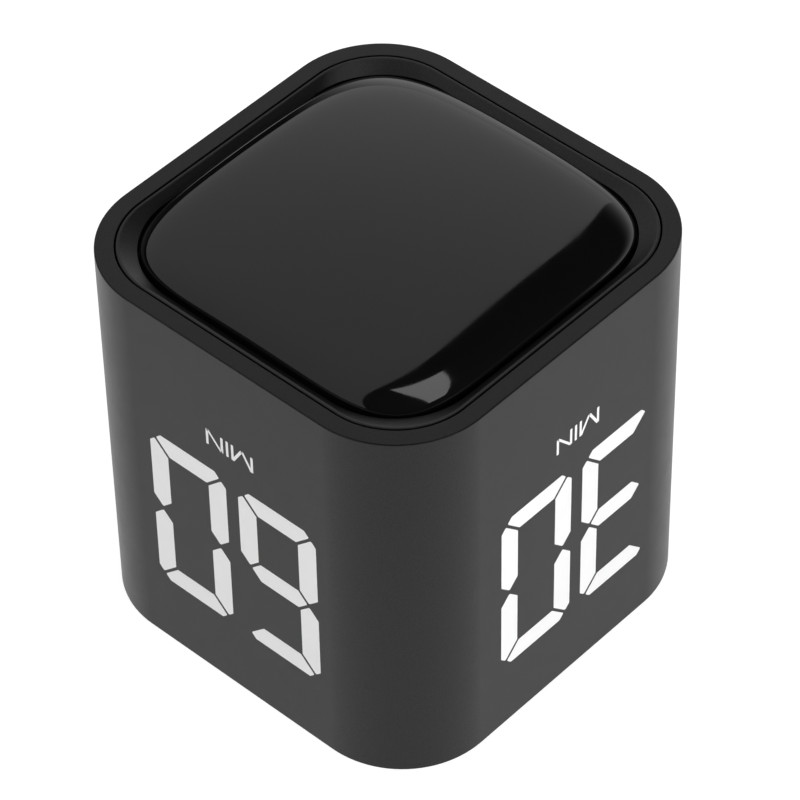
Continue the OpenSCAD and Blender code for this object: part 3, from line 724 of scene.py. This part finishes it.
copper = winding("copper", (0.72, 0.32, 0.15), 0.18 * mm)
dressed("motor_boot", rubber, 0.2 * mm)
dressed("motor_can", steel, 0.12 * mm)
dressed("motor_endcap", plug_white, 0.08 * mm)
dressed("motor_magnet", sintered, 0.08 * mm)
dressed("motor_leads", wire_blue, 0)
dressed("motor_shaft", steel, 0.05 * mm)
dressed("motor_armature", copper, 0.05 * mm)
dressed("motor_weight", tungsten, 0.12 * mm)

# ---------------------------------------------------------------------------------------------
# Main board: green lacquered glass fibre with its chips on the upper side, screwed under the
# frame's two stand-offs. The switches, port and buzzer hang from its underside.
# ---------------------------------------------------------------------------------------------


def circuit_board(name, lacquer, trace, patch, pitch):
    """Lacquer over patches of copper tracks, which run one way or the other, or not at all."""
    material, tree, shader, place = new_material(name)
    flat = tree.nodes.new("ShaderNodeMapping")
    flat.inputs["Scale"].default_value = (1, 1, 0)
    link(tree, place, flat.inputs["Vector"])
    cells = tree.nodes.new("ShaderNodeTexVoronoi")
    cells.distance = "CHEBYCHEV"
    cells.inputs["Scale"].default_value = 1 / patch
    link(tree, flat.outputs["Vector"], cells.inputs["Vector"])
    chance = tree.nodes.new("ShaderNodeSeparateColor")
    link(tree, cells.outputs["Color"], chance.inputs["Color"])
    across = tree.nodes.new("ShaderNodeSeparateXYZ")
    link(tree, place, across.inputs["Vector"])
    turned = calc(tree, "GREATER_THAN", chance.outputs["Red"], 0.5)
    along_x = calc(tree, "MULTIPLY", across.outputs["X"], turned)
    along_y = calc(tree, "MULTIPLY", across.outputs["Y"], calc(tree, "SUBTRACT", 1.0, turned))
    wave = calc(tree, "PINGPONG", calc(tree, "DIVIDE", calc(tree, "ADD", along_x, along_y), pitch), 0.5)
    lines = stretch(tree, wave, 0.2, 0.26, 1, 0)
    track = calc(tree, "MULTIPLY", lines, calc(tree, "GREATER_THAN", chance.outputs["Green"], 0.45))
    link(tree, blend_colour(tree, track, lacquer, trace), shader.inputs["Base Color"])
    gloss = noise(tree, place, 4 * mm, 3)
    link(tree, varied(tree, gloss, 0.24, 0.34), shader.inputs["Roughness"])
    bump(tree, shader, track, 0.03 * mm)
    return material


board_green = circuit_board("board_green", (0.012, 0.075, 0.03), (0.03, 0.16, 0.06), 5 * mm, 0.8 * mm)
chip_black = moulded("chip_black", (0.02, 0.02, 0.022), 0.5, 0.12 * mm, 0.006 * mm)
fired_tan = moulded("part_tan", (0.42, 0.33, 0.22), 0.4, 0.2 * mm, 0.004 * mm)
dressed("main_board", board_green, 0.05 * mm)
for node in ("processor_chip", "tilt_sensor", "charge_chip"):
    dressed(node, chip_black, 0.06 * mm)
dressed("clock_crystal", steel, 0.15 * mm)
dressed("board_passives", fired_tan, 0.08 * mm)
standoff_at = 21 * mm
screw_radius = 1 * mm
head_radius = 1.9 * mm
head_height = 1.1 * mm
head_edge = 0.3 * mm
recess_length = 2.2 * mm
recess_width = 0.5 * mm
recess_depth = 0.7 * mm
thread_pitch = 0.5 * mm
thread_share = 0.16
screw_length = 6 * mm


def vector(tree, x, y, z):
    """A vector of three sockets or numbers."""
    node = tree.nodes.new("ShaderNodeCombineXYZ")
    for value, socket in ((x, node.inputs["X"]), (y, node.inputs["Y"]), (z, node.inputs["Z"])):
        if isinstance(value, (int, float)):
            socket.default_value = value
        else:
            link(tree, value, socket)
    return node.outputs["Vector"]


def make(tree, kind, output, **values):
    """A geometry node with its inputs linked or set; spaces in their names are written _."""
    node = tree.nodes.new("GeometryNode" + kind)
    for name, value in values.items():
        socket = node.inputs[name.replace("_", " ")]
        if isinstance(value, bpy.types.NodeSocket):
            link(tree, value, socket)
        else:
            socket.default_value = value
    return node.outputs[output]


def moved(tree, shape, place):
    return make(tree, "Transform", "Geometry", Geometry=shape, Translation=place)


def merged(tree, *shapes):
    node = tree.nodes.new("GeometryNodeJoinGeometry")
    for shape in shapes:
        link(tree, shape, node.inputs["Geometry"])
    return node.outputs["Geometry"]


def new_tree(name, *lengths):
    """A geometry tree for things on a grid of places; gives the tree and its input sockets."""
    tree = bpy.data.node_groups.new(name, "GeometryNodeTree")
    tree.interface.new_socket("Geometry", in_out="OUTPUT", socket_type="NodeSocketGeometry")
    tree.interface.new_socket("Material", in_out="INPUT", socket_type="NodeSocketMaterial")
    for label in ("Columns", "Rows"):
        tree.interface.new_socket(label, in_out="INPUT", socket_type="NodeSocketInt")
    for label in ("Width", "Depth", "Level", *lengths):
        tree.interface.new_socket(label, in_out="INPUT", socket_type="NodeSocketFloat")
    return tree, tree.nodes.new("NodeGroupInput").outputs


def spread(tree, given, shape):
    """Puts the shape on a grid of places, gives it its material and sends it out."""
    spots = make(tree, "MeshGrid", "Mesh", Vertices_X=given["Columns"], Vertices_Y=given["Rows"],
                 Size_X=given["Width"], Size_Y=given["Depth"])
    spots = moved(tree, spots, vector(tree, 0, 0, given["Level"]))
    placed = make(tree, "InstanceOnPoints", "Instances", Points=spots, Instance=shape)
    realised = make(tree, "RealizeInstances", "Geometry", Geometry=placed)
    finished = make(tree, "SetMaterial", "Geometry", Geometry=realised, Material=given["Material"])
    link(tree, finished, tree.nodes.new("NodeGroupOutput").inputs["Geometry"])


def grown(name, tree, **settings):
    """A plain piece made by a geometry tree with these settings."""
    piece = add_object(name, bpy.data.meshes.new(name))
    maker = piece.modifiers.new("maker", "NODES")
    maker.node_group = tree
    for socket in tree.interface.items_tree:
        if socket.in_out == "INPUT":
            maker[socket.identifier] = settings[socket.name.replace(" ", "_")]
    graph = bpy.context.evaluated_depsgraph_get()
    mesh = bpy.data.meshes.new_from_object(piece.evaluated_get(graph))
    piece.modifiers.clear()
    piece.data = mesh
    smooth(piece)
    return piece


def screw_tree():
    """Pan head screws with a cross recess and a cut thread, on a grid of places."""
    tree, given = new_tree("screws", "Turned", "Length")
    rim = make(tree, "MeshCylinder", "Mesh", Vertices=40, Radius=head_radius, Depth=head_height - head_edge)
    rim = moved(tree, rim, (0, 0, (head_edge - head_height) / 2))
    top = make(tree, "MeshCone", "Mesh", Vertices=40, Radius_Top=head_radius,
               Radius_Bottom=head_radius - head_edge, Depth=head_edge)
    top = moved(tree, top, (0, 0, -head_height))
    head = tree.nodes.new("GeometryNodeMeshBoolean")
    head.operation = "UNION"
    link(tree, rim, head.inputs["Mesh 2"])
    link(tree, top, head.inputs["Mesh 2"])
    slot_one = make(tree, "MeshCube", "Mesh", Size=(recess_length, recess_width, 2 * recess_depth))
    slot_two = make(tree, "MeshCube", "Mesh", Size=(recess_width, recess_length, 2 * recess_depth))
    cut = tree.nodes.new("GeometryNodeMeshBoolean")
    cut.operation = "DIFFERENCE"
    link(tree, head.outputs["Mesh"], cut.inputs["Mesh 1"])
    link(tree, moved(tree, slot_one, (0, 0, -head_height)), cut.inputs["Mesh 2"])
    link(tree, moved(tree, slot_two, (0, 0, -head_height)), cut.inputs["Mesh 2"])

    shank = make(tree, "MeshCylinder", "Mesh", Vertices=24, Side_Segments=96, Radius=screw_radius,
                 Depth=given["Length"])
    shank = moved(tree, shank, vector(tree, 0, 0, calc(tree, "MULTIPLY", given["Length"], 0.5)))
    parts = tree.nodes.new("ShaderNodeSeparateXYZ")
    link(tree, make(tree, "InputPosition", "Position"), parts.inputs["Vector"])
    turn = calc(tree, "DIVIDE", calc(tree, "ARCTAN2", parts.outputs["Y"], parts.outputs["X"]), 2 * math.pi)
    climb = calc(tree, "SUBTRACT", calc(tree, "DIVIDE", parts.outputs["Z"], thread_pitch), turn)
    ridge = calc(tree, "MULTIPLY", calc(tree, "PINGPONG", climb, 0.5), 2 * thread_share)
    scale = calc(tree, "SUBTRACT", 1.0, ridge)
    cut_place = vector(tree, calc(tree, "MULTIPLY", parts.outputs["X"], scale),
                       calc(tree, "MULTIPLY", parts.outputs["Y"], scale), parts.outputs["Z"])
    shank = make(tree, "SetPosition", "Geometry", Geometry=shank, Position=cut_place)

    whole = merged(tree, cut.outputs["Mesh"], shank)
    facing = make(tree, "Transform", "Geometry", Geometry=whole, Rotation=vector(tree, given["Turned"], 0, 0))
    spread(tree, given, facing)
    return tree


screws = screw_tree()
board_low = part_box("main_board")[0]
board_screws = grown("board_screws", screws, Material=steel, Columns=2, Rows=1, Width=2 * standoff_at,
                     Depth=0.0, Level=board_low.z, Turned=0.0, Length=screw_length)
settle(board_screws, steel, "board_screws")

# ---------------------------------------------------------------------------------------------
# Port, switches and buzzer, soldered to the main board's underside and facing the back cover.
# ---------------------------------------------------------------------------------------------
dressed("usb_shell", steel, 0.06 * mm)
dressed("usb_tongue", chip_black, 0.06 * mm)
dressed("switch_frame", steel, 0.08 * mm)
dressed("switch_lever", plug_white, 0.08 * mm)
dressed("tact_bases", chip_black, 0.08 * mm)
dressed("tact_covers", steel, 0.05 * mm)
dressed("tact_domes", steel, 0)
dressed("buzzer_case", chip_black, 0.12 * mm)
dressed("buzzer_coil", copper, 0.05 * mm)
dressed("buzzer_magnet", sintered, 0.08 * mm)
dressed("buzzer_diaphragm", steel, 0.03 * mm)
dressed("buzzer_gasket", foam, 0.08 * mm)

# ---------------------------------------------------------------------------------------------
# Back: a flat black cover with the sound holes, held by four screws just inside the back rim.
# The button caps and the slide switch's ribbed pad stick out through it.
# ---------------------------------------------------------------------------------------------
cover_black = moulded("cover_black", (0.022, 0.022, 0.023), 0.5, 0.2 * mm, 0.006 * mm)
knob_black = moulded("knob_black", (0.03, 0.03, 0.031), 0.38, 0.15 * mm, 0.003 * mm)
dressed("rear_cover", cover_black, 0.12 * mm)
dressed("sound_mesh", foam, 0.02 * mm)
cover_screws = grown("cover_screws", screws, Material=steel, Columns=2, Rows=2, Width=2 * lug_at,
                     Depth=2 * lug_at, Level=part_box("rear_screws")[0].z + head_height, Turned=0.0,
                     Length=screw_length)
settle(cover_screws, steel, "rear_screws")
for node in ("button_left", "button_right"):
    dressed(node, knob_black, 0.2 * mm, 3)
for node in ("plunger_left", "plunger_right"):
    dressed(node, knob_black, 0.15 * mm)
dressed("switch_knob", knob_black, 0.1 * mm)

# ---------------------------------------------------------------------------------------------
# Display: a four-digit module on its own board, screwed to the tops of the frame's posts and
# joined to the main board by a flat ribbon.
# ---------------------------------------------------------------------------------------------
module_grey = moulded("module_grey", (0.05, 0.05, 0.055), 0.45, 0.2 * mm, 0.004 * mm)
segment_white = moulded("segment_white", (0.78, 0.78, 0.75), 0.3, 0.4 * mm, 0.002 * mm, 0.03)
ribbon_white = moulded("ribbon_white", (0.74, 0.74, 0.72), 0.35, 0.5 * mm, 0.002 * mm, 0.04)
dressed("display_board", board_green, 0.05 * mm)
dressed("driver_chip", chip_black, 0.08 * mm)
dressed("digit_module", module_grey, 0.1 * mm)
dressed("digit_segments", segment_white, 0.03 * mm)

pin_radius = 0.3 * mm
pin_low, pin_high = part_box("module_pins")
solder_radius = 0.7 * mm
display_screw_length = 7 * mm


def pin_tree():
    """Round pins, each with a cone of solder round it under the board."""
    tree, given = new_tree("pins", "Radius", "Length", "Tail", "Solder")
    pin = make(tree, "MeshCylinder", "Mesh", Vertices=20, Radius=given["Radius"], Depth=given["Length"])
    pin = moved(tree, pin, vector(tree, 0, 0, calc(tree, "MULTIPLY", given["Length"], 0.5)))
    cone = make(tree, "MeshCone", "Mesh", Vertices=20, Radius_Top=given["Solder"],
                Radius_Bottom=given["Radius"], Depth=calc(tree, "MULTIPLY", given["Tail"], 0.7))
    cone = moved(tree, cone, vector(tree, 0, 0, calc(tree, "MULTIPLY", given["Tail"], 0.3)))
    spread(tree, given, merged(tree, pin, cone))
    return tree


module_pins = grown("module_pins", pin_tree(), Material=steel, Columns=6, Rows=2,
                    Width=pin_high.x - pin_low.x - 2 * pin_radius,
                    Depth=pin_high.y - pin_low.y - 2 * pin_radius, Level=pin_low.z, Radius=pin_radius,
                    Length=pin_high.z - pin_low.z, Tail=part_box("display_board")[0].z - pin_low.z,
                    Solder=solder_radius)
settle(module_pins, steel, "module_pins")
display_screws = grown("display_screws", screws, Material=steel, Columns=2, Rows=2, Width=2 * lug_at,
                       Depth=2 * lug_at, Level=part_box("display_board")[1].z, Turned=math.pi,
                       Length=display_screw_length)
settle(display_screws, steel, "display_screws")
dressed("ribbon_sockets", socket_ivory, 0.08 * mm)
dressed("display_ribbon", ribbon_white, 0.03 * mm)

# ---------------------------------------------------------------------------------------------
# Bezel: a satin black ring pressed into the front of the shell, level with its rim. It slopes
# down to the lip that holds the window's flange, with adhesive tape between them.
# ---------------------------------------------------------------------------------------------
bezel_inset = 2.7 * mm
bezel_land = 0.4 * mm
pocket_inset = 3.5 * mm
lip_inset = 4.4 * mm
lip_extra = 2.45 * mm
lip_drop = 0.9 * mm
bezel_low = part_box("front_bezel")[0].z
shoulder_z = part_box("lens_tape")[1].z
bezel_outline = [
    (bezel_inset, bezel_low, 0, 0),
    (bezel_inset, cube_high.z, 0, 0.15 * mm),
    (bezel_inset + bezel_land, cube_high.z, 0, 0.3 * mm),
    (lip_inset, cube_high.z - lip_drop, lip_extra, 0.1 * mm),
    (lip_inset, shoulder_z, lip_extra, 0),
    (pocket_inset, shoulder_z, 0, 0),
    (pocket_inset, bezel_low, 0, 0),
]
bezel = add_object("bezel", ring_profile("bezel", bezel_outline, shell_radius))
smooth(bezel)
bezel_black = moulded("bezel_black", (0.006, 0.006, 0.0064), 0.36, 0.2 * mm, 0.02 * mm, shine=0.3)
settle(bezel, bezel_black, "front_bezel")
dressed("lens_tape", foam, 0)

# ---------------------------------------------------------------------------------------------
# Window: a hollow dome of smoked acrylic, glossy and almost black. Its plan is a square with
# bulged sides, its crown a shallow cap, and its edge rolls over into the groove round it.
# ---------------------------------------------------------------------------------------------
lens_half = 25.3 * mm
lens_power = 4.85
lens_low, lens_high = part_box("display_lens")
crown_z = lens_high.z
cap_radius = 220 * mm
edge_fall = 1.2 * mm
edge_power = 14
roll_power = 2.0
lens_wall = 1.8 * mm
flange_half = lens_high.x
flange_radius = 10 * mm
flange_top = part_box("lens_tape")[0].z
lens_fillet = 0.25 * mm
hollow_shape = ((0.96, 4 * mm), (0.8, 2.9 * mm), (0.45, lens_wall + 0.25 * mm))
grid_steps = 56
grid_power = 2.2


def lens_reach(angle):
    c, s = abs(math.cos(angle)), abs(math.sin(angle))
    return lens_half / (c ** lens_power + s ** lens_power) ** (1 / lens_power)


def square_reach(half_width, radius, angle):
    c, s = abs(math.cos(angle)), abs(math.sin(angle))
    k = half_width - radius
    if half_width * min(c, s) <= k * max(c, s):
        return half_width / max(c, s)
    return k * (c + s) + math.sqrt(k * k * (c + s) ** 2 - 2 * k * k + radius * radius)


def lens_point(angle, s):
    """A point of the outer surface, at the share s of the way to the outline."""
    reach = lens_reach(angle) * s
    roll = edge_fall * (1 - max(0.0, 1 - s ** edge_power) ** (1 / roll_power))
    z = crown_z - reach * reach / (2 * cap_radius) - roll
    return Vector((math.cos(angle) * reach, math.sin(angle) * reach, z))


def eased(i):
    """Grid spacing that closes up towards the edge."""
    t = i / grid_steps
    return math.copysign(1 - (1 - abs(t)) ** grid_power, t)


bm = bmesh.new()
grid = {}
for i in range(-grid_steps, grid_steps + 1):
    for j in range(-grid_steps, grid_steps + 1):
        u, v = eased(i), eased(j)
        grid[i, j] = bm.verts.new(lens_point(math.atan2(v, u), max(abs(u), abs(v))))
for i in range(-grid_steps, grid_steps):
    for j in range(-grid_steps, grid_steps):
        bm.faces.new((grid[i, j], grid[i + 1, j], grid[i + 1, j + 1], grid[i, j + 1]))
n = grid_steps
border = [grid[i, -n] for i in range(-n, n)] + [grid[n, j] for j in range(-n, n)]
border += [grid[i, n] for i in range(n, -n, -1)] + [grid[-n, j] for j in range(n, -n, -1)]
angles = [math.atan2(v.co.y, v.co.x) for v in border]


def add_ring(reach, z):
    """Vertices in line with the border's, this far out and at this height."""
    return [bm.verts.new((math.cos(a) * reach(a), math.sin(a) * reach(a), z)) for a in angles]


rings = [border]
rings.append(add_ring(lens_reach, flange_top + lens_fillet))
rings.append(add_ring(lambda a: lens_reach(a) + lens_fillet, flange_top))
rings.append(add_ring(lambda a: square_reach(flange_half, flange_radius, a), flange_top))
rings.append(add_ring(lambda a: square_reach(flange_half, flange_radius, a), lens_low.z))
rings.append(add_ring(lambda a: lens_reach(a) - lens_wall, lens_low.z))
for share, depth in hollow_shape:
    rings.append(add_ring(lambda a: (lens_reach(a) - lens_wall) * share, crown_z - depth))
for upper, lower in zip(rings, rings[1:]):
    for i in range(len(upper)):
        k = (i + 1) % len(upper)
        bm.faces.new((upper[k], upper[i], lower[i], lower[k]))
pole = bm.verts.new((0, 0, crown_z - lens_wall))
for i in range(len(angles)):
    bm.faces.new((rings[-1][(i + 1) % len(angles)], rings[-1][i], pole))
bmesh.ops.recalc_face_normals(bm, faces=bm.faces)
lens_mesh = bpy.data.meshes.new("window")
bm.to_mesh(lens_mesh)
bm.free()
window = add_object("window", lens_mesh)
smooth(window)


def smoked(name, colour):
    """Polished acrylic, almost black, with the faintest waviness and wipe marks."""
    material, tree, shader, place = new_material(name)
    shader.inputs["Specular IOR Level"].default_value = 0.36
    tone = noise(tree, place, 12 * mm, 3)
    pale = tuple(c * 1.4 for c in colour)
    link(tree, blend_colour(tree, tone, colour, pale), shader.inputs["Base Color"])
    wipes = noise(tree, place, 5 * mm, 6)
    gloss = stretch(tree, wipes, 0.35, 0.75, 0.035, 0.07)
    height = tree.nodes.new("ShaderNodeSeparateXYZ")
    link(tree, place, height.inputs["Vector"])
    matte = stretch(tree, height.outputs["Z"], flange_top, flange_top + 1 * mm, 0.6, 0)
    link(tree, calc(tree, "ADD", matte, gloss), shader.inputs["Roughness"])
    bump(tree, shader, noise(tree, place, 14 * mm, 1), 0.002 * mm)
    return material


settle(window, smoked("lens_black", (0.004, 0.004, 0.0045)), "display_lens")
